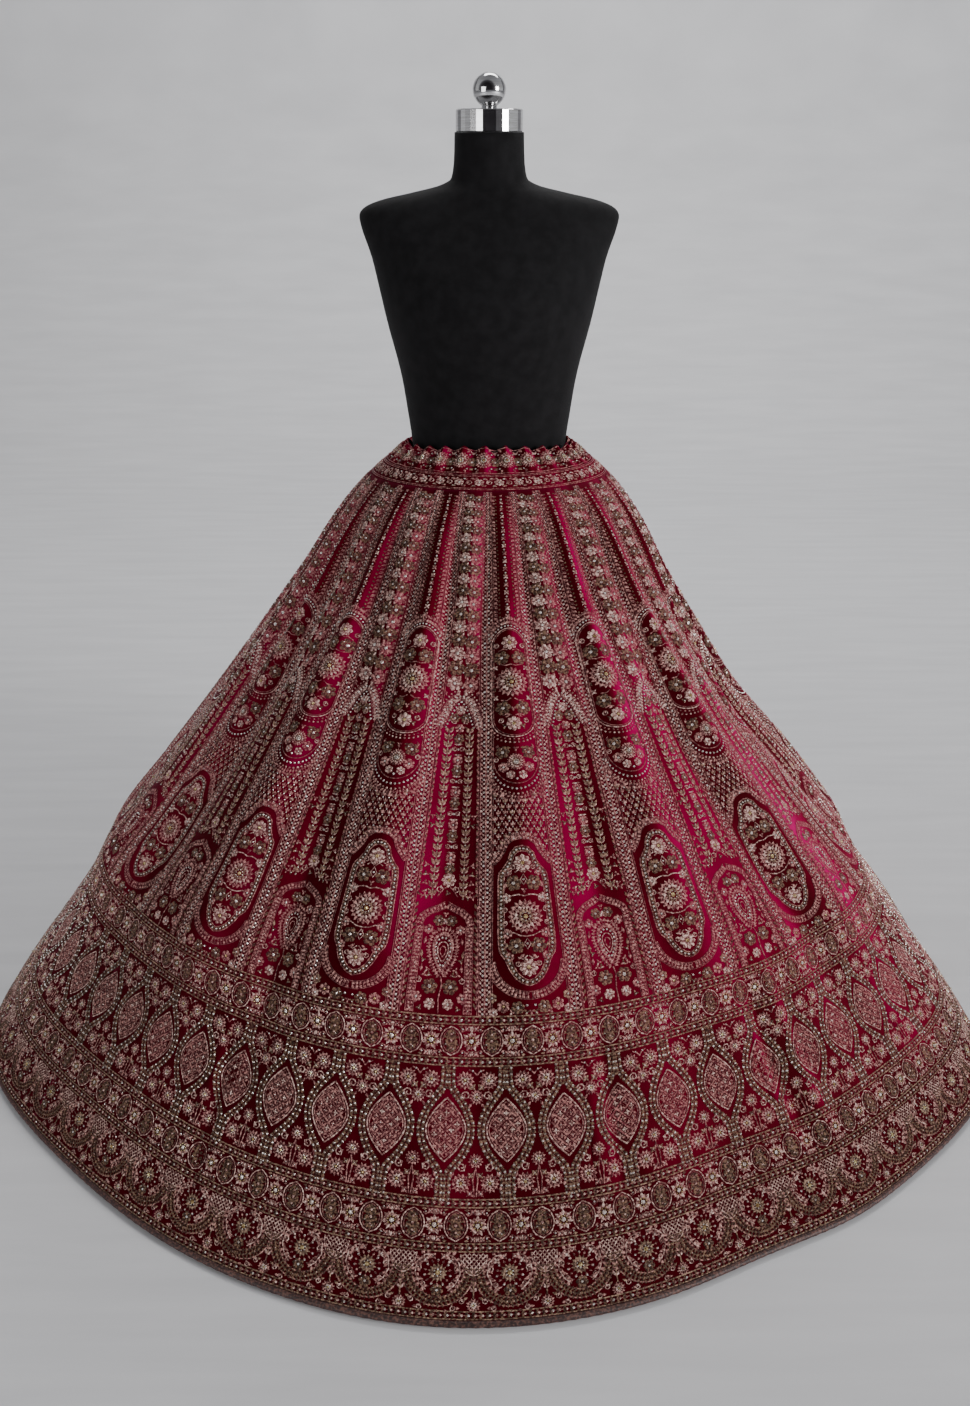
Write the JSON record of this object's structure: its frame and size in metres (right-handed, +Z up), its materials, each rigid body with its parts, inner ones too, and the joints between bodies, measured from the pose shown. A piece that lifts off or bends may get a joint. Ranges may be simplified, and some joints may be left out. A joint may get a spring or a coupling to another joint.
{
  "type": "lehenga skirt on a limbless dress form",
  "caption": "Floor-length flared lehenga skirt of sewn kalis with a gathered waist casing, yoke band and corded hem, standing round a limbless dress form on a pole and foot plate.",
  "frame": {"origin": "middle of the foot plate's underside, on the floor", "axes": "+Z up along the pole, -Y towards the skirt's front, +X towards the viewer's right"},
  "size_m": [1.6065, 1.6339, 1.4467],
  "materials": {
    "velvet": "maroon to magenta silk velvet with dense thread and bead embroidery",
    "band": "velvet band with dense scroll embroidery",
    "piping": "brown-gold corded edge",
    "form_fabric": "matt black jersey cover",
    "chrome": "polished chrome",
    "steel": "satin steel"
  },
  "bodies": {
    "root": {"kali_01": "velvet", "kali_02": "velvet", "kali_03": "velvet", "kali_04": "velvet", "kali_05": "velvet", "kali_06": "velvet", "kali_07": "velvet", "kali_08": "velvet", "kali_09": "velvet", "kali_10": "velvet", "kali_11": "velvet", "kali_12": "velvet", "kali_13": "velvet", "kali_14": "velvet", "kali_15": "velvet", "kali_16": "velvet", "yoke_band": "band", "waist_casing": "band", "hem_piping": "piping", "form_torso": "form_fabric", "neck_cap": "chrome", "neck_ball": "chrome", "stand_pole": "steel", "stand_base": "steel"}
  },
  "joints": []
}
